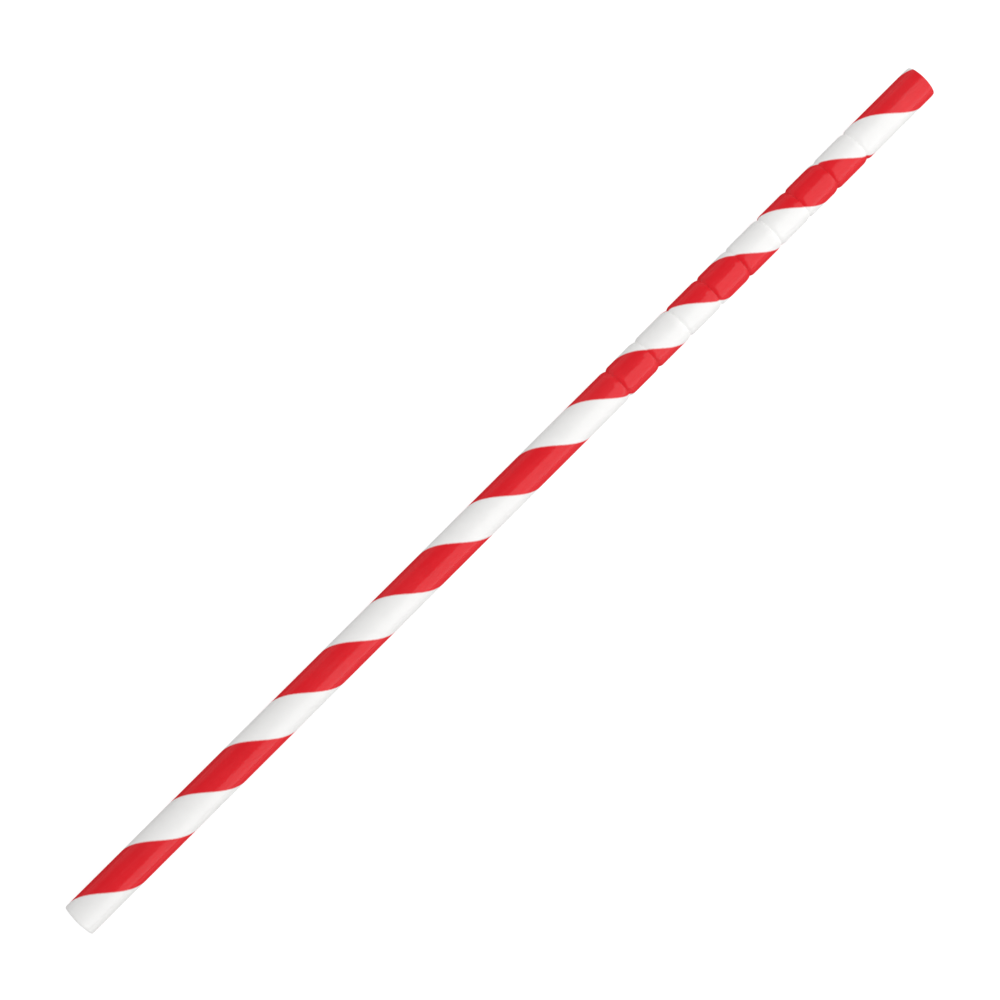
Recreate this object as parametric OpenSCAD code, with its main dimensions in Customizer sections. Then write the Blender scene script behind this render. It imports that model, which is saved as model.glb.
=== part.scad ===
// Flexible paper drinking straw: a spiral-wound paper tube with a row of pressed
// crimp rings near its mouth end and one printed stripe winding along it. It lies
// along X with the mouth end at +X, on a surface at Z = 0.

/* [Tube] */
// Length of the straw from end to end
straw_length = 197; // [160:1:260]
// Outside diameter of the tube
outer_d = 6.2; // [5:0.1:8]
// Thickness of the wound paper wall
wall = 0.4; // [0.35:0.05:0.6]

/* [Crimps] */
// Number of crimp rings
crimp_count = 9; // [1:1:12]
// Mean distance from one crease to the next
crimp_pitch = 7.1; // [4:0.1:9]
// Distance from the last crease to the mouth end
mouth_length = 15.9; // [5:0.1:30]
// Depth of a crease below the outside of the tube
crimp_depth = 0.3; // [0.1:0.05:0.35]
// Length of the slope into a crease on its lower side
lower_slope = 1.2; // [0.6:0.1:2]
// Length of the slope into a crease on its mouth side
mouth_slope = 0.8; // [0.6:0.1:2]

/* [Print] */
// Length of tube that one turn of the stripe takes
stripe_lead = 22.7; // [12:0.1:40]
// Width of the stripe, measured along the tube
stripe_width = 11.9; // [4:0.1:12]
// Where the stripe first starts along the top line, from the lower end
stripe_start = 6.6; // [0:0.1:20]

/* [Hidden] */
// Steps between creases as shares of the mean pitch: the press spaces them unevenly
crimp_step_shares = [0.98, 1.05, 1.03, 0.97, 1.05, 0.95, 0.97, 1.00];
// Straight pieces that draw one turn of the stripe's edge
stripe_steps = 48;
// How far the ink is drawn proud of the paper, so that it shows
ink = 0.02;
// How far a cut runs past what it cuts
overrun = 1;
$fn = 96;

outer_r = outer_d / 2;
last_crease = straw_length - mouth_length;
lower_shoulder_r = arc_radius(lower_slope, crimp_depth);
mouth_shoulder_r = arc_radius(mouth_slope, crimp_depth);
// Level inside the wall that lies below the creases and above the bore
ink_floor_r = outer_r - (crimp_depth + wall) / 2;

// Radius of an arc that starts level and falls by drop over the length run
function arc_radius(run, drop) = (run * run + drop * drop) / (2 * drop);

// Pitches from crease k to the last crease
function pitches_left(k) =
    k >= crimp_count - 1 ? 0
    : crimp_step_shares[k % len(crimp_step_shares)] + pitches_left(k + 1);

// Distance of crease k from the lower end
function crease_place(k) = last_crease - crimp_pitch * pitches_left(k);

// Section of one ring: the space outside two rounded shoulders that meet in a sharp crease
module crimp_groove() {
    difference() {
        translate([outer_r - crimp_depth - overrun, -lower_slope])
            square([crimp_depth + 2 * overrun, lower_slope + mouth_slope]);
        translate([outer_r - lower_shoulder_r, -lower_slope])
            circle(lower_shoulder_r);
        translate([outer_r - mouth_shoulder_r, mouth_slope])
            circle(mouth_shoulder_r);
    }
}

// Half section from the axis out to the paper's outside, longer at both ends by extra
module outside_section(extra) {
    difference() {
        translate([0, -extra])
            square([outer_r, straw_length + 2 * extra]);
        for (k = [0 : crimp_count - 1])
            translate([0, crease_place(k)])
                crimp_groove();
    }
}

// Paper wall: the bore follows the outside, so the wall is as thick in the crimps
module paper_tube() {
    rotate_extrude()
        difference() {
            outside_section(0);
            translate([-wall, 0])
                outside_section(overrun);
        }
}

// Corners of the stripe's section after k steps round the tube, counted from the top line
function stripe_ring(k) =
    let (
        turn = 180 + 360 * k / stripe_steps,
        low = stripe_start + stripe_lead * k / stripe_steps,
        high = low + stripe_width,
        corners = [
            [ink_floor_r, low], [outer_r + overrun, low],
            [outer_r + overrun, high], [ink_floor_r, high]
        ]
    )
    [for (c = corners) [c[0] * cos(turn), c[0] * sin(turn), c[1]]];

// Right-handed helical band that runs on past both ends of the tube
module stripe_band() {
    turns_before = ceil((stripe_start + stripe_width) / stripe_lead);
    turns_after = ceil((straw_length - stripe_start) / stripe_lead);
    steps = [-turns_before * stripe_steps : turns_after * stripe_steps];
    rings = [for (k = steps) stripe_ring(k)];
    sides = len(rings[0]);
    last_ring = sides * (len(rings) - 1);
    polyhedron(
        points = [for (ring = rings) each ring],
        faces = [
            [for (j = [sides - 1 : -1 : 0]) j],
            [for (j = [0 : sides - 1]) last_ring + j],
            for (start = [0 : sides : last_ring - sides])
                for (j = [0 : sides - 1])
                    let (a = start + j, b = start + (j + 1) % sides)
                        each [[a, b, b + sides], [a, b + sides, a + sides]]
        ]
    );
}

// Field of ink over the paper wherever the band crosses the outside, crimps included
module stripe_print() {
    intersection() {
        stripe_band();
        rotate_extrude()
            translate([ink, 0])
                outside_section(0);
    }
}

// The whole straw is one wound piece. Its print is colour alone and adds no solid to it
module straw() {
    translate([-straw_length / 2, 0, outer_r])
        rotate([0, 90, 0]) {
            color("whitesmoke") paper_tube();
            %color("crimson") stripe_print();
        }
}

straw();
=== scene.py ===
"""Paper drinking straw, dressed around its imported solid.

The straw is a spiral-wound paper tube with one printed red stripe and a row of
pressed crimp rings near its mouth end. It lies along X, mouth end at +X, on a
floor at Z = 0. Lengths are metres.
"""

import math

import bpy
import numpy as np
from bpy.props import FloatProperty, FloatVectorProperty, IntProperty, PointerProperty
from mathutils import Matrix, Vector


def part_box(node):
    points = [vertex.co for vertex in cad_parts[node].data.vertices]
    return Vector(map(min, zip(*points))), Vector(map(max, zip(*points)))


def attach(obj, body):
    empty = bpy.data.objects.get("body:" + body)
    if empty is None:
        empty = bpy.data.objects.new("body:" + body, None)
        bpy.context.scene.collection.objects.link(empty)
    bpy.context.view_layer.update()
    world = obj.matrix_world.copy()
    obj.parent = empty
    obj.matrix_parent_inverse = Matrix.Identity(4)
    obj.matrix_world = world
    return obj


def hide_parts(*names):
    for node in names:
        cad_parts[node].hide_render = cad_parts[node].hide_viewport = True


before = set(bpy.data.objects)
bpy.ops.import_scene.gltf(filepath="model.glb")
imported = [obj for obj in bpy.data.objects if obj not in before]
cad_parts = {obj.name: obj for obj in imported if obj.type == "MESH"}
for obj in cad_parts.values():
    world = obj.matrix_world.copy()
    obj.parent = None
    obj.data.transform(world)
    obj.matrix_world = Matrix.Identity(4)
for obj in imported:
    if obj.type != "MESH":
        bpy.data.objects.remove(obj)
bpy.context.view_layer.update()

bl_info = {
    "name": "Paper Drinking Straw",
    "version": (1, 0, 0),
    "blender": (4, 5, 0),
    "location": "View3D > Sidebar > Straw",
    "description": "Builds a crimped paper straw with a printed spiral stripe, and its studio stage",
    "category": "Object",
}

MM = 0.001
FULL_TURN = 2 * math.pi
QUARTER_TURN = math.pi / 2
STRAW_NODE = "straw"
PIECE_NAME = "paper_straw"

# Marks that the straw's tree leaves on the mesh for the finishes
CREASE_ATTRIBUTE = "crease"
BORE_ATTRIBUTE = "in_bore"
EDGE_ATTRIBUTE = "cut_edge"


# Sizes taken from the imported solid

def read_solid():
    """Length, radii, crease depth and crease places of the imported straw, from its own points."""
    end_reach = 0.01 * MM
    crease_reach = 0.005 * MM
    place_digits = 6
    low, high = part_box(STRAW_NODE)
    centre = (low + high) / 2
    points = np.array([v.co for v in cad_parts[STRAW_NODE].data.vertices])
    radii = np.hypot(points[:, 1] - centre.y, points[:, 2] - centre.z)
    at_end = np.isclose(points[:, 0], high.x, atol=end_reach)
    outer_radius = (high.z - low.z) / 2
    bore_radius = radii[at_end].min()
    crease_radius = radii.min()
    in_crease = radii < crease_radius + crease_reach
    return {
        "length": high.x - low.x,
        "axis_height": centre.z,
        "outer_radius": outer_radius,
        "wall": outer_radius - bore_radius,
        "crease_depth": bore_radius - crease_radius,
        "crease_places": sorted(set(np.round(points[in_crease, 0], place_digits))),
    }


SOLID = read_solid()


# Settings that a user would change

class StrawSizes(bpy.types.PropertyGroup):
    """Sizes of the straw's paper and of its crimp rings."""

    length: FloatProperty(
        name="Length",
        description="Length of the straw from end to end",
        default=SOLID["length"],
        unit="LENGTH",
    )
    outer_radius: FloatProperty(
        name="Outer Radius",
        description="Outside radius of the plain tube",
        default=SOLID["outer_radius"],
        unit="LENGTH",
    )
    wall: FloatProperty(
        name="Wall",
        description="Thickness of the wound paper",
        default=SOLID["wall"],
        unit="LENGTH",
    )
    crease_depth: FloatProperty(
        name="Crease Depth",
        description="Depth of a crease below the outside of the tube",
        default=SOLID["crease_depth"],
        unit="LENGTH",
    )
    lower_slope: FloatProperty(
        name="Lower Slope",
        description="Length of the slope into a crease on its lower side",
        default=1.2 * MM,
        unit="LENGTH",
    )
    mouth_slope: FloatProperty(
        name="Mouth Slope",
        description="Length of the slope into a crease on its mouth side",
        default=0.8 * MM,
        unit="LENGTH",
    )
    crease_wander: FloatProperty(
        name="Crease Wander",
        description="How far a crease strays along the straw as it goes round",
        default=0.07 * MM,
        unit="LENGTH",
    )
    depth_spread: FloatProperty(
        name="Depth Spread",
        description="How much the press depth differs from ring to ring and round a ring",
        default=0.22,
        subtype="FACTOR",
    )
    cut_bow: FloatProperty(
        name="Cut Bow",
        description="How much shorter the knife left both sides of the lower end than its top",
        default=0.16 * MM,
        unit="LENGTH",
    )
    cut_bow_length: FloatProperty(
        name="Cut Bow Length",
        description="Length of the lower end that the bowed cut draws along",
        default=4.0 * MM,
        unit="LENGTH",
    )
    rim_press: FloatProperty(
        name="Rim Press",
        description="How far the knife pressed the rims of both ends inwards",
        default=0.08 * MM,
        unit="LENGTH",
    )
    rim_press_length: FloatProperty(
        name="Rim Press Length",
        description="Length of each end that the pressed rim takes up",
        default=0.6 * MM,
        unit="LENGTH",
    )
    edge_round: FloatProperty(
        name="Edge Round",
        description="How far the cut edges are rounded off",
        default=0.03 * MM,
        unit="LENGTH",
    )
    unevenness: FloatProperty(
        name="Unevenness",
        description="How far the wound paper sinks below a true cylinder",
        default=0.012 * MM,
        unit="LENGTH",
    )
    seed: IntProperty(
        name="Seed",
        description="Picks the unevenness of the paper and the crimps",
        default=7,
    )


class StrawPrint(bpy.types.PropertyGroup):
    """Layout and colours of the printed paper."""

    lead: FloatProperty(
        name="Stripe Lead",
        description="Length of straw that one turn of the stripe takes",
        default=22.715 * MM,
        unit="LENGTH",
    )
    ink_share: FloatProperty(
        name="Ink Share",
        description="Share of the lead that the stripe covers",
        default=0.523,
        subtype="FACTOR",
    )
    start: FloatProperty(
        name="Stripe Start",
        description="Where the stripe first starts along the top line, from the lower end",
        default=6.56 * MM,
        unit="LENGTH",
    )
    edge_softness: FloatProperty(
        name="Edge Softness",
        description="Half the width over which the ink runs out at the stripe's edge",
        default=0.28 * MM,
        unit="LENGTH",
    )
    edge_wander: FloatProperty(
        name="Edge Wander",
        description="How far the ink strays into the fibres at the stripe's edge",
        default=0.08 * MM,
        unit="LENGTH",
    )
    rubbed_end: FloatProperty(
        name="Rubbed End",
        description="Length at the lower end over which the ink has rubbed off",
        default=1.8 * MM,
        unit="LENGTH",
    )
    paper_colour: FloatVectorProperty(
        name="Paper",
        description="Coated white paper of the outside",
        default=(0.89, 0.885, 0.875),
        subtype="COLOR",
        min=0,
        max=1,
    )
    ink_colour: FloatVectorProperty(
        name="Ink",
        description="Printed stripe",
        default=(0.755, 0.0125, 0.021),
        subtype="COLOR",
        min=0,
        max=1,
    )
    bare_colour: FloatVectorProperty(
        name="Bare Paper",
        description="Uncoated paper of the bore and the cut edges",
        default=(0.82, 0.80, 0.76),
        subtype="COLOR",
        min=0,
        max=1,
    )


class StrawStage(bpy.types.PropertyGroup):
    """Camera, lamps and floor."""

    lens: FloatProperty(
        name="Lens",
        description="Focal length of the camera",
        default=116.7,
        unit="CAMERA",
    )
    camera_distance: FloatProperty(
        name="Camera Distance",
        description="Distance from the camera to the straw's axis along the line of sight",
        default=533.5 * MM,
        unit="LENGTH",
    )
    camera_tilt: FloatProperty(
        name="Camera Tilt",
        description="How far the line of sight leans towards the mouth end",
        default=math.radians(6.12),
        subtype="ANGLE",
    )
    camera_roll: FloatProperty(
        name="Camera Roll",
        description="Angle of the straw in the picture, up from the horizontal",
        default=math.radians(44.91),
        subtype="ANGLE",
    )
    aim_along: FloatProperty(
        name="Aim Along",
        description="Where the line of sight meets the straw, from its middle",
        default=-1.706 * MM,
        unit="LENGTH",
    )
    aim_across: FloatProperty(
        name="Aim Across",
        description="How far the line of sight passes beside the straw's axis",
        default=0.082 * MM,
        unit="LENGTH",
    )
    softbox_level: FloatProperty(
        name="Softbox Level",
        description="Brightness of the softbox's face, where white is 1",
        default=0.46,
    )
    ceiling_level: FloatProperty(
        name="Ceiling Level",
        description="Brightness of the studio above the white backdrop",
        default=0.45,
    )
    sheen_level: FloatProperty(
        name="Sheen Level",
        description="Brightness of the panel that shows only as the paper's sheen",
        default=2.85,
    )
    fill_level: FloatProperty(
        name="Fill Level",
        description="Light from straight above that makes no reflection, as a share of white",
        default=0.66,
    )
    floor_glow: FloatProperty(
        name="Floor Glow",
        description="Share of the floor's white that doesn't depend on the light",
        default=0.85,
        subtype="FACTOR",
    )


# Helpers for building node trees

NUMBER = "NodeSocketFloat"
COUNT = "NodeSocketInt"
SHAPE = "NodeSocketGeometry"
FINISH = "NodeSocketMaterial"
GEOMETRY_TREE = "GeometryNodeTree"
SHADER_TREE = "ShaderNodeTree"


class NodeBench:
    """Adds nodes to one tree and links them, so that a formula reads as it is written."""

    def __init__(self, tree):
        self.tree = tree

    def feed(self, socket, value):
        """Links an output to the socket, or sets the socket to a plain value."""
        if isinstance(value, bpy.types.NodeSocket):
            self.tree.links.new(value, socket)
        else:
            socket.default_value = value

    def add(self, kind, inputs=None, **settings):
        """A new node with its settings made and its inputs fed, by name or by number."""
        node = self.tree.nodes.new(kind)
        for name, value in settings.items():
            setattr(node, name, value)
        for key, value in (inputs or {}).items():
            self.feed(node.inputs[key], value)
        return node

    def pass_on(self, given, node):
        """Feeds every input of a group node that goes by the name of a given value."""
        for socket in node.inputs:
            if socket.name in given:
                self.feed(socket, given[socket.name])

    def math(self, operation, *values):
        """The output of a Math node."""
        node = self.add("ShaderNodeMath", operation=operation)
        for socket, value in zip(node.inputs, values):
            self.feed(socket, value)
        return node.outputs[0]

    def plus(self, *values):
        """The sum of all the values."""
        total = values[0]
        for value in values[1:]:
            total = self.math("ADD", total, value)
        return total

    def minus(self, a, b):
        """a less b."""
        return self.math("SUBTRACT", a, b)

    def times(self, *values):
        """The product of all the values."""
        product = values[0]
        for value in values[1:]:
            product = self.math("MULTIPLY", product, value)
        return product

    def over(self, a, b):
        """a divided by b."""
        return self.math("DIVIDE", a, b)

    def power(self, a, b):
        """a to the power b."""
        return self.math("POWER", a, b)

    def blend(self, a, b, share_of_b):
        """Two values mixed."""
        return self.plus(self.times(a, self.minus(1.0, share_of_b)), self.times(b, share_of_b))

    def span(self, value, low, high, to_low=0.0, to_high=1.0, smooth=False):
        """value carried from low..high to to_low..to_high, and held at both ends."""
        inputs = {0: value, 1: low, 2: high, 3: to_low, 4: to_high}
        kind = "SMOOTHSTEP" if smooth else "LINEAR"
        return self.add("ShaderNodeMapRange", inputs, interpolation_type=kind).outputs[0]

    def vector(self, x, y, z):
        """A vector put together from three values."""
        return self.add("ShaderNodeCombineXYZ", {0: x, 1: y, 2: z}).outputs[0]

    def apart(self, vector):
        """The three values of a vector."""
        return self.add("ShaderNodeSeparateXYZ", {0: vector}).outputs

    def noise(self, place, scale, detail=2.0, roughness=0.5):
        """Smooth noise about 0.5."""
        inputs = {"Vector": place, "Scale": scale, "Detail": detail, "Roughness": roughness}
        return self.add("ShaderNodeTexNoise", inputs).outputs["Fac"]

    def swing(self, place, scale, detail=2.0):
        """Smooth noise about zero, between -1 and 1."""
        return self.times(self.minus(self.noise(place, scale, detail), 0.5), 2.0)

    def mix_colour(self, share_of_b, a, b):
        """Two colours mixed."""
        node = self.add("ShaderNodeMix", data_type="RGBA")
        sockets = [s for s in node.inputs if s.enabled]
        for socket, value in zip(sockets, (share_of_b, a, b)):
            self.feed(socket, value)
        return next(s for s in node.outputs if s.enabled)


def new_group(name, kind, inputs, outputs):
    """An empty node group with named sockets, its bench, its inputs and its outputs by name."""
    tree = bpy.data.node_groups.new(name, kind)
    for socket_name, socket_kind, default in inputs:
        socket = tree.interface.new_socket(socket_name, in_out="INPUT", socket_type=socket_kind)
        if default is not None:
            socket.default_value = default
    for socket_name, socket_kind in outputs:
        tree.interface.new_socket(socket_name, in_out="OUTPUT", socket_type=socket_kind)
    bench = NodeBench(tree)
    given = bench.add("NodeGroupInput").outputs
    result = bench.add("NodeGroupOutput").inputs
    return tree, bench, given, result


# The straw's shape

# Length at the lower end, and again before the first crimp, where the mesh's rings lie close
CLOSE_RINGS_LENGTH = 2 * MM

# Sizes that shape the outside. The whole straw's tree passes them down by these names
OUTLINE_SIZES = [
    ("Length", NUMBER, 0.2),
    ("Outer Radius", NUMBER, 3 * MM),
    ("Crease Depth", NUMBER, 0.3 * MM),
    ("Lower Slope", NUMBER, 1.2 * MM),
    ("Mouth Slope", NUMBER, 0.8 * MM),
    ("Crease Wander", NUMBER, 0.05 * MM),
    ("Depth Spread", NUMBER, 0.2),
    ("Rim Press", NUMBER, 0.1 * MM),
    ("Rim Press Length", NUMBER, 1 * MM),
    ("Unevenness", NUMBER, 0.02 * MM),
    ("Seed", COUNT, 1),
]

# What each rolled sheet takes besides: its columns, its height and its bowed lower cut
ROLL_SIZES = [
    ("Columns", COUNT, 96),
    ("Axis Height", NUMBER, 3 * MM),
    ("Cut Bow", NUMBER, 0.1 * MM),
    ("Cut Bow Length", NUMBER, 4 * MM),
]


def ring_place_group():
    """Where each ring of the mesh lies: close at the ends and the crimps, and closest at a crease."""
    tree, bench, given, result = new_group(
        "Ring place",
        GEOMETRY_TREE,
        [
            ("Creases", SHAPE, None),
            ("Along", NUMBER, 0.0),
            ("Length", NUMBER, 0.2),
            ("End Length", NUMBER, CLOSE_RINGS_LENGTH),
            ("Plain Length", NUMBER, 120 * MM),
            ("End Share", NUMBER, 0.02),
            ("Plain Share", NUMBER, 0.2),
            ("Gathered", NUMBER, 1.6 * MM),
            ("Gather Power", NUMBER, 0.5),
        ],
        [("X", NUMBER)],
    )
    along = given["Along"]
    plain_start = given["End Share"]
    crimp_start = given["Plain Share"]
    past_lower_end = bench.minus(given["Length"], given["End Length"])
    crimp_length = bench.minus(past_lower_end, given["Plain Length"])
    even_x = bench.plus(
        bench.times(given["Length"], -0.5),
        bench.span(along, 0.0, plain_start, 0.0, given["End Length"]),
        bench.span(along, plain_start, crimp_start, 0.0, given["Plain Length"]),
        bench.span(along, crimp_start, 1.0, 0.0, crimp_length),
    )
    nearest = bench.add(
        "GeometryNodeProximity",
        {0: given["Creases"], "Sample Position": bench.vector(even_x, 0.0, 0.0)},
        target_element="POINTS",
    )
    crease_x = bench.apart(nearest.outputs["Position"])[0]
    offset = bench.minus(even_x, crease_x)
    share = bench.over(bench.math("ABSOLUTE", offset), given["Gathered"])
    pull = bench.power(bench.math("MINIMUM", share, 1.0), given["Gather Power"])
    bench.feed(result["X"], bench.plus(crease_x, bench.times(offset, pull)))
    return tree


def pressed_outline_group():
    """Outside radius of the paper at any place along and round the straw."""
    tree, bench, given, result = new_group(
        "Pressed outline",
        GEOMETRY_TREE,
        [
            ("Creases", SHAPE, None),
            ("X", NUMBER, 0.0),
            ("Around", NUMBER, 0.0),
            *OUTLINE_SIZES,
        ],
        [("Radius", NUMBER), ("Crease", NUMBER)],
    )
    x = given["X"]
    side = bench.math("COSINE", given["Around"])
    height = bench.math("SINE", given["Around"])
    on_axis = bench.vector(x, 0.0, 0.0)

    # The nearest crease, and how it strays and deepens on its way round. Each ring and each
    # seed has its own stretch of the noise
    ring_stretch = 3.7
    seed_stretch = 11.3
    nearest = bench.add(
        "GeometryNodeProximity",
        {0: given["Creases"], "Sample Position": on_axis},
        target_element="POINTS",
    )
    number = bench.add(
        "GeometryNodeSampleNearest", {0: given["Creases"], 1: on_axis}
    ).outputs[0]
    shift = bench.plus(bench.times(number, ring_stretch), bench.times(given["Seed"], seed_stretch))
    round_the_ring = bench.vector(side, height, shift)
    stray = bench.swing(round_the_ring, scale=0.9, detail=1.0)
    wander = bench.times(stray, given["Crease Wander"])
    deepen = bench.swing(round_the_ring, scale=0.6, detail=0.0)
    depth_share = bench.plus(1.0, bench.times(deepen, given["Depth Spread"]))
    depth = bench.times(given["Crease Depth"], depth_share)

    # Two rounded shoulders that meet in a sharp crease
    offset = bench.plus(bench.minus(x, bench.apart(nearest.outputs["Position"])[0]), wander)
    past = bench.math("GREATER_THAN", offset, 0.0)
    run = bench.plus(
        given["Lower Slope"],
        bench.times(past, bench.minus(given["Mouth Slope"], given["Lower Slope"])),
    )
    inside = bench.math("MAXIMUM", bench.minus(run, bench.math("ABSOLUTE", offset)), 0.0)
    run_squared = bench.times(run, run)
    depth_squared = bench.times(depth, depth)
    shoulder = bench.over(bench.plus(run_squared, depth_squared), bench.times(depth, 2.0))
    left_over = bench.minus(bench.times(shoulder, shoulder), bench.times(inside, inside))
    fall = bench.minus(shoulder, bench.math("SQRT", left_over))

    # The knife pressed both rims in a little, all round
    to_end = bench.minus(bench.times(given["Length"], 0.5), bench.math("ABSOLUTE", x))
    near_cut = bench.span(to_end, given["Rim Press Length"], 0.0)
    press = bench.times(given["Rim Press"], bench.power(near_cut, 2.0))

    # Slow swells of the wound paper, always inwards
    swells_along = 90.0
    swells_round = 0.7
    swell_place = bench.vector(
        bench.times(x, swells_along),
        bench.times(side, swells_round),
        bench.plus(bench.times(height, swells_round), given["Seed"]),
    )
    swell = bench.times(bench.noise(swell_place, scale=1.0), given["Unevenness"])

    radius = bench.minus(given["Outer Radius"], bench.plus(fall, press, swell))
    bench.feed(result["Radius"], radius)
    bench.feed(result["Crease"], bench.over(fall, given["Crease Depth"]))
    return tree


def rolled_band_group(outline):
    """A sheet of the mesh rolled round the axis at the outline's radius, less an inset."""
    tree, bench, given, result = new_group(
        "Rolled band",
        GEOMETRY_TREE,
        [
            ("Creases", SHAPE, None),
            ("Rings", COUNT, 100),
            ("X", NUMBER, 0.0),
            ("Inset", NUMBER, 0.0),
            *ROLL_SIZES,
            *OUTLINE_SIZES,
        ],
        [("Mesh", SHAPE)],
    )
    sheet = bench.add(
        "GeometryNodeMeshGrid",
        {
            "Size X": 1.0,
            "Size Y": 1.0,
            "Vertices X": bench.plus(given["Rings"], 1),
            "Vertices Y": bench.plus(given["Columns"], 1),
        },
    )
    flat_place = bench.apart(bench.add("GeometryNodeInputPosition").outputs[0])
    around = bench.times(bench.plus(flat_place[1], 0.5), FULL_TURN)
    outline_node = bench.add("GeometryNodeGroup", node_tree=outline)
    bench.pass_on(given, outline_node)
    bench.feed(outline_node.inputs["Around"], around)
    marked = bench.add(
        "GeometryNodeStoreNamedAttribute",
        {
            "Geometry": sheet.outputs["Mesh"],
            "Name": CREASE_ATTRIBUTE,
            "Value": outline_node.outputs["Crease"],
        },
        data_type="FLOAT",
        domain="POINT",
    )
    radius = bench.minus(outline_node.outputs["Radius"], given["Inset"])
    side = bench.math("COSINE", around)

    # The lower end's cut is bowed: its two sides are shorter than its top and underside
    to_lower_end = bench.plus(given["X"], bench.times(given["Length"], 0.5))
    drawn = bench.span(to_lower_end, given["Cut Bow Length"], 0.0, smooth=True)
    bow = bench.times(given["Cut Bow"], drawn, bench.times(side, side))
    place = bench.vector(
        bench.plus(given["X"], bow),
        bench.times(radius, side),
        bench.plus(given["Axis Height"], bench.times(radius, bench.math("SINE", around))),
    )
    rolled = bench.add(
        "GeometryNodeSetPosition", {"Geometry": marked.outputs[0], "Position": place}
    )
    bench.feed(result["Mesh"], rolled.outputs[0])
    return tree


def straw_tree():
    """The whole straw: outside, bore and two cut edges, rolled, joined and closed."""
    tree, bench, given, result = new_group(
        "Paper straw",
        GEOMETRY_TREE,
        [
            ("Creases", SHAPE, None),
            ("Outside Rings", COUNT, 700),
            ("Bore Rings", COUNT, 200),
            ("Edge Rings", COUNT, 10),
            ("Wall", NUMBER, 0.4 * MM),
            ("Plain Length", NUMBER, 120 * MM),
            ("Edge Round", NUMBER, 0.06 * MM),
            *ROLL_SIZES,
            *OUTLINE_SIZES,
            ("Printed Paper", FINISH, None),
            ("Bare Paper", FINISH, None),
            ("Cut Paper", FINISH, None),
        ],
        [("Straw", SHAPE)],
    )
    tree.is_modifier = True
    band_group = rolled_band_group(pressed_outline_group())
    along = bench.plus(bench.apart(bench.add("GeometryNodeInputPosition").outputs[0])[0], 0.5)

    # Rings of both walls stop short of the ends by the rounding of the cut edges
    wall_length = bench.minus(given["Length"], bench.times(given["Edge Round"], 2.0))
    wall_x = bench.add(
        "GeometryNodeGroup",
        {
            "Creases": given["Creases"],
            "Along": along,
            "Length": wall_length,
            "Plain Length": given["Plain Length"],
        },
        node_tree=ring_place_group(),
    ).outputs["X"]

    # A cut edge bulges from the outside to the bore. The high power keeps its face flat
    bulge_power = 6.0
    from_middle = bench.math("ABSOLUTE", bench.minus(bench.times(along, 2.0), 1.0))
    fall_back = bench.times(given["Edge Round"], bench.power(from_middle, bulge_power))
    mouth_x = bench.minus(bench.times(given["Length"], 0.5), fall_back)
    lower_x = bench.times(mouth_x, -1.0)
    across_wall = bench.times(given["Wall"], along)

    def band(rings, x, inset, outwards, mark=None):
        """One rolled sheet, turned to face the right way and marked for its finish."""
        own = {"Rings": rings, "X": x, "Inset": inset}
        node = bench.add("GeometryNodeGroup", own, node_tree=band_group)
        bench.pass_on(given, node)
        mesh = node.outputs["Mesh"]
        if outwards:
            mesh = bench.add("GeometryNodeFlipFaces", {0: mesh}).outputs[0]
        if mark:
            mesh = bench.add(
                "GeometryNodeStoreNamedAttribute",
                {"Geometry": mesh, "Name": mark, "Value": True},
                data_type="BOOLEAN",
                domain="FACE",
            ).outputs[0]
        return mesh

    joined = bench.add("GeometryNodeJoinGeometry")
    for mesh in (
        band(given["Edge Rings"], lower_x, across_wall, False, EDGE_ATTRIBUTE),
        band(given["Edge Rings"], mouth_x, across_wall, True, EDGE_ATTRIBUTE),
        band(given["Bore Rings"], wall_x, given["Wall"], False, BORE_ATTRIBUTE),
        band(given["Outside Rings"], wall_x, 0.0, True),
    ):
        tree.links.new(mesh, joined.inputs[0])
    weld_reach = 0.001 * MM
    closed = bench.add(
        "GeometryNodeMergeByDistance", {"Geometry": joined.outputs[0], "Distance": weld_reach}
    )
    smooth = bench.add("GeometryNodeSetShadeSmooth", {"Geometry": closed.outputs[0]})
    shape = bench.add("GeometryNodeRealizeInstances", {"Geometry": smooth.outputs[0]}).outputs[0]
    shape = bench.add(
        "GeometryNodeSetMaterial", {"Geometry": shape, "Material": given["Printed Paper"]}
    ).outputs[0]
    for mark, finish in ((BORE_ATTRIBUTE, "Bare Paper"), (EDGE_ATTRIBUTE, "Cut Paper")):
        chosen = bench.add(
            "GeometryNodeInputNamedAttribute", {"Name": mark}, data_type="BOOLEAN"
        ).outputs["Attribute"]
        shape = bench.add(
            "GeometryNodeSetMaterial",
            {"Geometry": shape, "Selection": chosen, "Material": given[finish]},
        ).outputs[0]
    bench.feed(result["Straw"], shape)
    return tree


def crease_points():
    """A mesh of loose points, one on the axis line at each crease of the solid."""
    mesh = bpy.data.meshes.new("crease_points")
    mesh.from_pydata([(x, 0, 0) for x in SOLID["crease_places"]], [], [])
    return mesh


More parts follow.
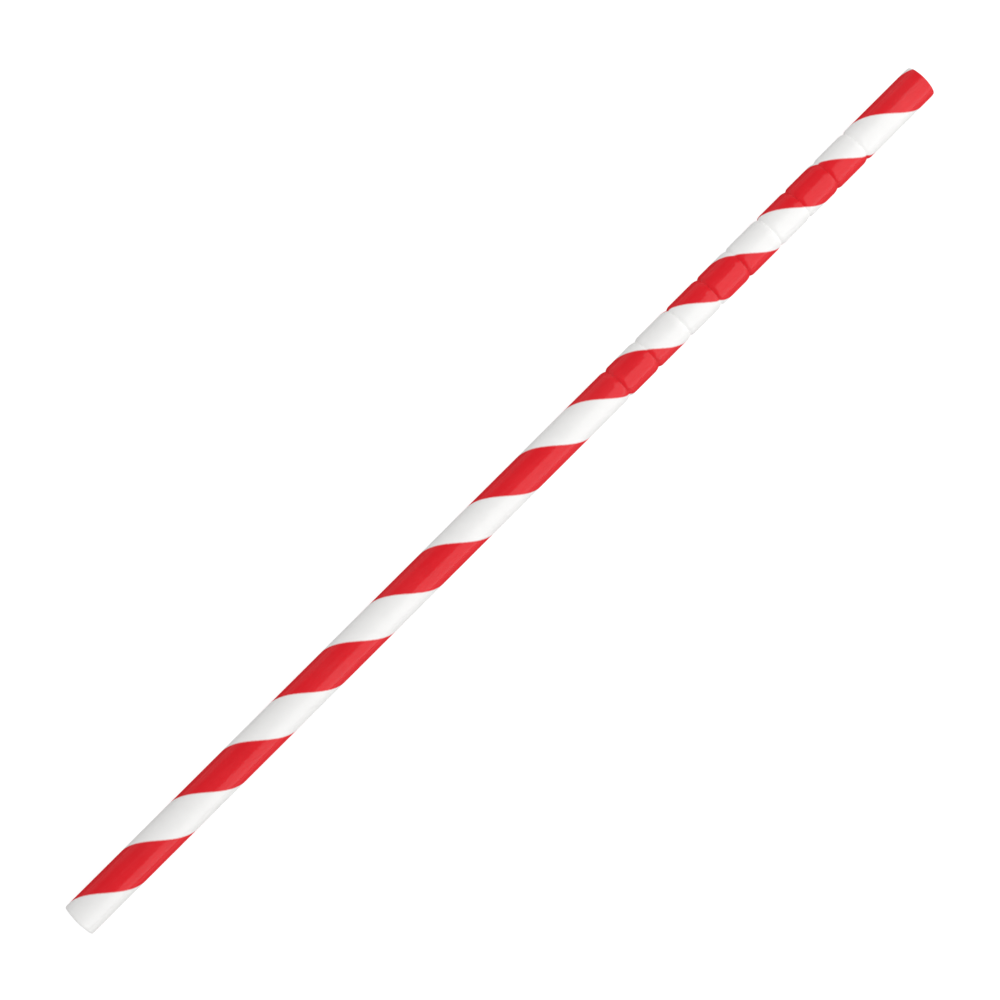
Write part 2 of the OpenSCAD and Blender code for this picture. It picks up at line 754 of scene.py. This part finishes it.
def shaped_straw(sizes, finishes):
    """The straw as a plain mesh object, made by the tree and checked to be closed."""
    maker = bpy.data.objects.new("straw_maker", crease_points())
    bpy.context.scene.collection.objects.link(maker)
    modifier = maker.modifiers.new("Paper straw", "NODES")
    tree = straw_tree()
    modifier.node_group = tree
    to_first_crease = SOLID["crease_places"][0] + sizes.length / 2
    values = {
        "Axis Height": SOLID["axis_height"],
        "Plain Length": to_first_crease - 2 * CLOSE_RINGS_LENGTH,
        **finishes,
    }
    for item in tree.interface.items_tree:
        if item.in_out != "INPUT" or item.socket_type == SHAPE:
            continue
        name = item.name
        setting = name.lower().replace(" ", "_")
        if name in values:
            modifier[item.identifier] = values[name]
        elif hasattr(sizes, setting):
            modifier[item.identifier] = getattr(sizes, setting)
        else:
            modifier[item.identifier] = item.default_value
    view = bpy.context.evaluated_depsgraph_get()
    mesh = bpy.data.meshes.new_from_object(maker.evaluated_get(view))
    bpy.data.objects.remove(maker)
    mesh.name = PIECE_NAME
    straw = bpy.data.objects.new(PIECE_NAME, mesh)
    bpy.context.scene.collection.objects.link(straw)
    check_closed(mesh)
    return straw


def check_closed(mesh):
    """Stops the script if the wall has an open edge or faces inwards."""
    uses = np.zeros(len(mesh.edges), int)
    edges = np.zeros(len(mesh.loops), int)
    mesh.loops.foreach_get("edge_index", edges)
    np.add.at(uses, edges, 1)
    if not (uses == 2).all():
        raise RuntimeError(f"the straw has {int((uses != 2).sum())} open edges")
    centres = np.array([f.center for f in mesh.polygons])
    normals = np.array([f.normal for f in mesh.polygons])
    areas = np.array([f.area for f in mesh.polygons])
    volume = (centres * normals).sum(1) @ areas / 3
    if volume <= 0:
        raise RuntimeError("the straw's faces point inwards")


# Effects that the straw's finishes share

def paper_grain_group():
    """Fibres and mottling of paper: a tone and a height."""
    tree, bench, given, result = new_group(
        "Paper grain",
        SHADER_TREE,
        [
            ("Fibre Scale", NUMBER, 5000.0),
            ("Mottle Scale", NUMBER, 500.0),
            ("Stretch", NUMBER, 3.0),
        ],
        [("Tone", NUMBER), ("Height", NUMBER)],
    )
    place = bench.add("ShaderNodeTexCoord").outputs["Object"]
    parts = bench.apart(place)
    along_fibres = bench.vector(bench.over(parts[0], given["Stretch"]), parts[1], parts[2])
    fibres = bench.noise(along_fibres, given["Fibre Scale"], detail=3.0, roughness=0.6)
    mottle = bench.noise(place, given["Mottle Scale"], detail=3.0, roughness=0.55)
    mottle_in_tone = 0.7
    mottle_in_height = 0.4
    bench.feed(result["Tone"], bench.blend(fibres, mottle, mottle_in_tone))
    bench.feed(result["Height"], bench.blend(fibres, mottle, mottle_in_height))
    return tree


def spiral_stripe_group():
    """Where the ink lies: one band that winds right-handed along X, rubbed off at the lower end."""
    tree, bench, given, result = new_group(
        "Spiral stripe",
        SHADER_TREE,
        [
            ("Lead", NUMBER, 20 * MM),
            ("Ink Share", NUMBER, 0.5),
            ("Start", NUMBER, 0.0),
            ("Axis Height", NUMBER, 3 * MM),
            ("Edge Softness", NUMBER, 0.1 * MM),
            ("Edge Wander", NUMBER, 0.05 * MM),
            ("Lower End", NUMBER, -0.1),
            ("Rubbed End", NUMBER, 1 * MM),
            ("Rub Raggedness", NUMBER, 0.4),
            ("Bare Rim Share", NUMBER, 0.35),
        ],
        [("Ink", NUMBER)],
    )
    place = bench.add("ShaderNodeTexCoord").outputs["Object"]
    parts = bench.apart(place)
    above_axis = bench.minus(parts[2], given["Axis Height"])
    around = bench.minus(bench.math("ARCTAN2", above_axis, parts[1]), QUARTER_TURN)
    turns_along = bench.over(bench.minus(parts[0], given["Start"]), given["Lead"])
    turns = bench.minus(turns_along, bench.over(around, FULL_TURN))
    half_share = bench.times(given["Ink Share"], 0.5)
    from_middle = bench.math("PINGPONG", bench.minus(turns, half_share), 0.5)
    to_edge = bench.times(bench.minus(half_share, from_middle), given["Lead"])
    stray = bench.swing(place, scale=2600.0)
    edge = bench.plus(to_edge, bench.times(stray, given["Edge Wander"]))
    dry = bench.times(given["Edge Softness"], -1.0)
    printed = bench.span(edge, dry, given["Edge Softness"], smooth=True)

    from_end = bench.minus(parts[0], given["Lower End"])
    ragged = bench.plus(from_end, bench.times(stray, given["Rubbed End"], given["Rub Raggedness"]))
    bare_rim = bench.times(given["Rubbed End"], given["Bare Rim Share"])
    kept = bench.span(ragged, bare_rim, given["Rubbed End"], smooth=True)
    bench.feed(result["Ink"], bench.times(printed, kept))
    return tree


def handling_wear_group():
    """Rubbed patches and fine scuffs that handling leaves."""
    tree, bench, given, result = new_group(
        "Handling wear",
        SHADER_TREE,
        [
            ("Patch Scale", NUMBER, 120.0),
            ("Scuff Scale", NUMBER, 1500.0),
            ("Scuff Stretch", NUMBER, 6.0),
            ("Spread", NUMBER, 0.5),
        ],
        [("Rub", NUMBER)],
    )
    place = bench.add("ShaderNodeTexCoord").outputs["Object"]
    parts = bench.apart(place)
    patch_noise = bench.noise(place, given["Patch Scale"])
    patches = bench.span(patch_noise, low=0.45, high=0.75, smooth=True)
    long_place = bench.vector(bench.over(parts[0], given["Scuff Stretch"]), parts[1], parts[2])
    scuff_noise = bench.noise(long_place, given["Scuff Scale"])
    scuffs = bench.span(scuff_noise, low=0.5, high=0.8)
    bench.feed(result["Rub"], bench.blend(patches, scuffs, given["Spread"]))
    return tree


# The straw's finishes

def new_material(name):
    """A material with a bench for its nodes and its Principled shader."""
    material = bpy.data.materials.new(name)
    material.use_nodes = True
    bench = NodeBench(material.node_tree)
    shader = material.node_tree.nodes["Principled BSDF"]
    return material, bench, shader


def effect(bench, group, inputs):
    """The outputs of a shared effect with its inputs fed."""
    return bench.add("ShaderNodeGroup", inputs, node_tree=group).outputs


def shade_of(colour, share):
    """A colour made darker or lighter by a share, as a shader socket wants it."""
    return (*(c * share for c in colour), 1.0)


def grained_colour(bench, tone, colour, darkest, lightest=1.0):
    """A colour that runs from its darkest to its lightest shade with the grain's tone."""
    return bench.mix_colour(tone, shade_of(colour, darkest), shade_of(colour, lightest))


def raise_grain(bench, shader, height, strength, depth):
    """Lets the grain's height show as a fine relief."""
    bump = bench.add(
        "ShaderNodeBump", {"Strength": strength, "Distance": depth, "Height": height}
    )
    bench.feed(shader.inputs["Normal"], bump.outputs[0])


def printed_paper(settings, groups):
    """Coated white paper with the red stripe, rubbed a little, with painted shade along the ink's
    creases and painted light in the white's folds.
    """
    material, bench, shader = new_material("printed_paper")
    grain = effect(bench, groups["grain"], {"Fibre Scale": 5200.0, "Mottle Scale": 420.0})
    stripe_layout = {
        "Lead": settings.lead,
        "Ink Share": settings.ink_share,
        "Start": settings.start - SOLID["length"] / 2,
        "Axis Height": SOLID["axis_height"],
        "Edge Softness": settings.edge_softness,
        "Edge Wander": settings.edge_wander,
        "Lower End": -SOLID["length"] / 2,
        "Rubbed End": settings.rubbed_end,
    }
    ink = effect(bench, groups["stripe"], stripe_layout)["Ink"]
    rub = effect(bench, groups["wear"], {"Patch Scale": 90.0, "Spread": 0.4})["Rub"]
    crease_mark = bench.add("ShaderNodeAttribute", attribute_name=CREASE_ATTRIBUTE).outputs["Fac"]
    crease = bench.math("MINIMUM", crease_mark, 1.0)

    # Painted light: the white paper is painted up to 5% paler in its folds, which lifts the shade
    # that the creases cast there
    tone = bench.span(grain["Tone"], low=0.3, high=0.7)
    coated = grained_colour(bench, tone, settings.paper_colour, darkest=0.965)
    fold_painted_light = shade_of(settings.paper_colour, 1.05)
    fold_light_power = 1.5
    paper = bench.mix_colour(bench.power(crease, fold_light_power), coated, fold_painted_light)

    # Handling takes off a trace of the ink, and the ink is painted darker along the bottom of each
    # crease, a painted shade
    stripe = grained_colour(bench, tone, settings.ink_colour, darkest=0.93)
    rubbed_share = 0.012
    cover = bench.minus(ink, bench.times(ink, rub, rubbed_share))
    print_colour = bench.mix_colour(cover, paper, stripe)
    # Painted shade: a dark grey mixed into the ink at the bottom of each crease
    crease_shade_power = 8.0
    crease_shade_share = 0.1
    crease_shade_colour = (0.05, 0.04, 0.04, 1.0)
    painted_crease_shade = bench.times(bench.power(crease, crease_shade_power), ink, crease_shade_share)
    colour = bench.mix_colour(painted_crease_shade, print_colour, crease_shade_colour)
    bench.feed(shader.inputs["Base Color"], colour)

    # Seen along the surface, the fibres stand up out of the coating and break its gloss
    coating_ior = 1.25
    coating_roughness = 0.15
    rub_adds = 0.03
    tone_adds = 0.02
    ink_adds = -0.02
    slant = bench.add("ShaderNodeLayerWeight", {"Blend": 0.5}).outputs["Facing"]
    broken = bench.span(slant, low=0.25, high=0.6, to_high=0.75, smooth=True)
    worn = bench.plus(
        bench.times(rub, rub_adds), bench.times(tone, tone_adds), bench.times(ink, ink_adds)
    )
    bench.feed(shader.inputs["Roughness"], bench.plus(coating_roughness, worn, broken))
    shader.inputs["IOR"].default_value = coating_ior
    raise_grain(bench, shader, grain["Height"], strength=0.2, depth=0.01 * MM)
    return material


def bare_paper(settings, groups):
    """Uncoated paper of the bore: matt, with open fibres."""
    material, bench, shader = new_material("bare_paper")
    fibres = {"Fibre Scale": 3200.0, "Mottle Scale": 600.0, "Stretch": 4.0}
    grain = effect(bench, groups["grain"], fibres)
    rub = effect(bench, groups["wear"], {"Spread": 0.2})["Rub"]
    tone = bench.span(grain["Tone"], low=0.3, high=0.7)
    colour = grained_colour(bench, tone, settings.bare_colour, darkest=0.88)
    bench.feed(shader.inputs["Base Color"], colour)
    open_roughness = 0.85
    rub_takes = 0.12
    bench.feed(shader.inputs["Roughness"], bench.minus(open_roughness, bench.times(rub, rub_takes)))
    raise_grain(bench, shader, grain["Height"], strength=0.5, depth=0.03 * MM)
    return material


def cut_paper(settings, groups):
    """Cut edge: raw fibres, a little grey where the knife dragged."""
    material, bench, shader = new_material("cut_paper")
    fibres = {"Fibre Scale": 9000.0, "Mottle Scale": 1500.0, "Stretch": 1.0}
    grain = effect(bench, groups["grain"], fibres)
    rub = effect(bench, groups["wear"], {"Patch Scale": 300.0, "Scuff Scale": 2500.0})["Rub"]
    tone = bench.span(grain["Tone"], low=0.25, high=0.75)
    fresh = grained_colour(bench, tone, settings.bare_colour, darkest=0.8, lightest=1.05)
    dragged = shade_of(settings.bare_colour, 0.68)
    dragged_share = 0.5
    colour = bench.mix_colour(bench.times(rub, dragged_share), fresh, dragged)
    bench.feed(shader.inputs["Base Color"], colour)
    raw_roughness = 0.95
    rub_takes = 0.15
    bench.feed(shader.inputs["Roughness"], bench.minus(raw_roughness, bench.times(rub, rub_takes)))
    raise_grain(bench, shader, grain["Height"], strength=0.6, depth=0.04 * MM)
    return material


class STRAW_OT_build_straw(bpy.types.Operator):
    """Build the crimped paper straw over its solid"""

    bl_idname = "straw.build_straw"
    bl_label = "Build Straw"

    def execute(self, context):
        settings = context.scene.straw_print
        groups = {
            "grain": paper_grain_group(),
            "stripe": spiral_stripe_group(),
            "wear": handling_wear_group(),
        }
        finishes = {
            "Printed Paper": printed_paper(settings, groups),
            "Bare Paper": bare_paper(settings, groups),
            "Cut Paper": cut_paper(settings, groups),
        }
        straw = shaped_straw(context.scene.straw_sizes, finishes)
        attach(straw, "root")
        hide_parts(STRAW_NODE)
        return {"FINISHED"}


# The stage

def grey(level):
    """An even grey, as a shader socket wants it."""
    return (level, level, level, 1.0)


def white_floor(glow):
    """A floor that looks white and still takes the straw's shadow."""
    reach = 12.0
    mesh = bpy.data.meshes.new("floor")
    corners = [(-reach, -reach, 0), (reach, -reach, 0), (reach, reach, 0), (-reach, reach, 0)]
    mesh.from_pydata(corners, [], [(0, 1, 2, 3)])
    floor = bpy.data.objects.new("floor", mesh)
    bpy.context.scene.collection.objects.link(floor)

    # The camera sees a floor just past white, and the straw is lit by a greyer one
    bounced_level = 0.55
    seen_level = 1.15
    material, bench, shader = new_material("floor_white")
    nodes = material.node_tree.nodes
    nodes.remove(shader)
    path = bench.add("ShaderNodeLightPath").outputs
    shown = bench.math("MAXIMUM", path["Is Camera Ray"], path["Is Glossy Ray"])
    shown = bench.math("MAXIMUM", shown, path["Is Transmission Ray"])
    matt = bench.add("ShaderNodeBsdfDiffuse", {"Color": grey(bounced_level)}).outputs[0]
    shaded = bench.add("ShaderNodeBsdfDiffuse", {"Color": grey(seen_level - glow)}).outputs[0]
    light = bench.add("ShaderNodeEmission", {"Strength": glow}).outputs[0]
    seen = bench.add("ShaderNodeAddShader", {0: shaded, 1: light}).outputs[0]
    both = bench.add("ShaderNodeMixShader", {0: shown, 1: matt, 2: seen}).outputs[0]
    bench.feed(nodes["Material Output"].inputs["Surface"], both)
    mesh.materials.append(material)


def studio_world(ceiling):
    """A white backdrop all round the horizon under a dim ceiling."""
    backdrop_top = 0.2
    ceiling_from = 0.42
    world = bpy.data.worlds.new("studio")
    world.use_nodes = True
    bpy.context.scene.world = world
    bench = NodeBench(world.node_tree)
    direction = bench.add("ShaderNodeTexCoord").outputs["Generated"]
    height = bench.apart(direction)[2]
    level = bench.span(height, backdrop_top, ceiling_from, 1.0, ceiling, smooth=True)
    background = world.node_tree.nodes["Background"]
    bench.feed(background.inputs["Strength"], level)
    background.inputs["Color"].default_value = grey(1.0)


def panel_lamp(name, centre, line, facing, width, depth, level):
    """A flat rectangular lamp whose face has an even brightness, where white is 1."""
    lamp = bpy.data.lights.new(name, "AREA")
    lamp.shape = "RECTANGLE"
    lamp.size = width
    lamp.size_y = depth
    lamp.energy = level * math.pi * width * depth
    holder = bpy.data.objects.new(name, lamp)
    bpy.context.scene.collection.objects.link(holder)
    axes = Matrix((line, (-facing).cross(line), -facing)).transposed()
    holder.matrix_world = Matrix.Translation(centre) @ axes.to_4x4()
    holder.visible_camera = False
    return holder


def softbox(level):
    """A broad lamp beside the straw, which lights its lower side in the picture."""
    width = 1.0
    depth = 0.7
    centre = Vector((0.1, -0.48, 0.23))
    facing = -centre.normalized()
    along = Vector((1, 0, 0))
    line = (along - facing * along.dot(facing)).normalized()
    box = panel_lamp("softbox", centre, line, facing, width, depth, level)
    box.visible_glossy = False


def sheen_panel(level):
    """A panel that shows only in the paper's gloss.

    Its near edge runs over the straw, askew, and shows as the sheen's edge. It stops a
    little past the straw, where the slopes of the crimps would catch it otherwise.
    """
    reach_before = 2.5
    reach_past = 0.34
    width = reach_before + reach_past
    depth = 1.5
    edge_middle = Vector((0.26, 0.0, 1.0))
    line = Vector((0.53, 0.85, 0.0)).normalized()
    lean = math.radians(42)
    level_out = Vector((line.y, -line.x, 0))
    down = level_out * math.cos(lean) - Vector((0, 0, math.sin(lean)))
    centre = edge_middle + line * (reach_past - reach_before) / 2 + down * depth / 2
    facing = line.cross(down).normalized()
    panel = panel_lamp("sheen_panel", centre, line, facing, width, depth, level)
    panel.visible_diffuse = False


def overhead_fill(level):
    """A soft lamp straight above that makes no reflection."""
    size = 0.6
    height = 0.5
    centre = Vector((0.15, -0.06, height))
    line = Vector((1, 0, 0))
    facing = Vector((0, 0, -1))
    share_of_sky = (size / height) ** 2 / math.pi
    fill = panel_lamp("overhead_fill", centre, line, facing, size, size, level / share_of_sky)
    fill.visible_glossy = False


def photo_camera(stage):
    """The camera at the picture's viewing angle: above the straw, leaning towards its mouth end."""
    sensor_width = 36
    nearest_seen = 10 * MM
    lean = stage.camera_tilt
    along = Vector((math.cos(lean), 0, math.sin(lean)))
    across = Vector((0, 1, 0))
    back = Vector((-math.sin(lean), 0, math.cos(lean)))
    turn = stage.camera_roll
    right = along * math.cos(turn) - across * math.sin(turn)
    up = along * math.sin(turn) + across * math.cos(turn)
    aim = Vector((stage.aim_along, stage.aim_across, SOLID["axis_height"]))
    camera = bpy.data.cameras.new("photo_camera")
    camera.lens = stage.lens
    camera.sensor_width = sensor_width
    camera.clip_start = nearest_seen
    holder = bpy.data.objects.new("photo_camera", camera)
    bpy.context.scene.collection.objects.link(holder)
    axes = Matrix((right, up, back)).transposed().to_4x4()
    holder.matrix_world = Matrix.Translation(aim + back * stage.camera_distance) @ axes
    bpy.context.scene.camera = holder


class STRAW_OT_build_stage(bpy.types.Operator):
    """Build the white floor, the soft studio light and the camera"""

    bl_idname = "straw.build_stage"
    bl_label = "Build Stage"

    def execute(self, context):
        stage = context.scene.straw_stage
        white_floor(stage.floor_glow)
        studio_world(stage.ceiling_level)
        softbox(stage.softbox_level)
        sheen_panel(stage.sheen_level)
        overhead_fill(stage.fill_level)
        photo_camera(stage)
        context.scene.view_settings.view_transform = "Standard"
        return {"FINISHED"}


class STRAW_PT_sidebar(bpy.types.Panel):
    """Straw and stage in the sidebar"""

    bl_idname = "STRAW_PT_sidebar"
    bl_label = "Paper Straw"
    bl_space_type = "VIEW_3D"
    bl_region_type = "UI"
    bl_category = "Straw"

    def draw(self, context):
        layout = self.layout
        for settings, operator in (
            (("straw_sizes", "straw_print"), STRAW_OT_build_straw.bl_idname),
            (("straw_stage",), STRAW_OT_build_stage.bl_idname),
        ):
            for name in settings:
                group = getattr(context.scene, name)
                for key in group.bl_rna.properties.keys():
                    if key not in ("rna_type", "name"):
                        layout.prop(group, key)
            layout.operator(operator)


SETTINGS = {
    "straw_sizes": StrawSizes,
    "straw_print": StrawPrint,
    "straw_stage": StrawStage,
}
CLASSES = (*SETTINGS.values(), STRAW_OT_build_straw, STRAW_OT_build_stage, STRAW_PT_sidebar)


def register():
    for cls in CLASSES:
        bpy.utils.register_class(cls)
    for name, cls in SETTINGS.items():
        setattr(bpy.types.Scene, name, PointerProperty(type=cls))


def unregister():
    for name in SETTINGS:
        delattr(bpy.types.Scene, name)
    for cls in reversed(CLASSES):
        bpy.utils.unregister_class(cls)


def main():
    register()
    bpy.ops.straw.build_straw()
    bpy.ops.straw.build_stage()


if __name__ == "__main__":
    main()
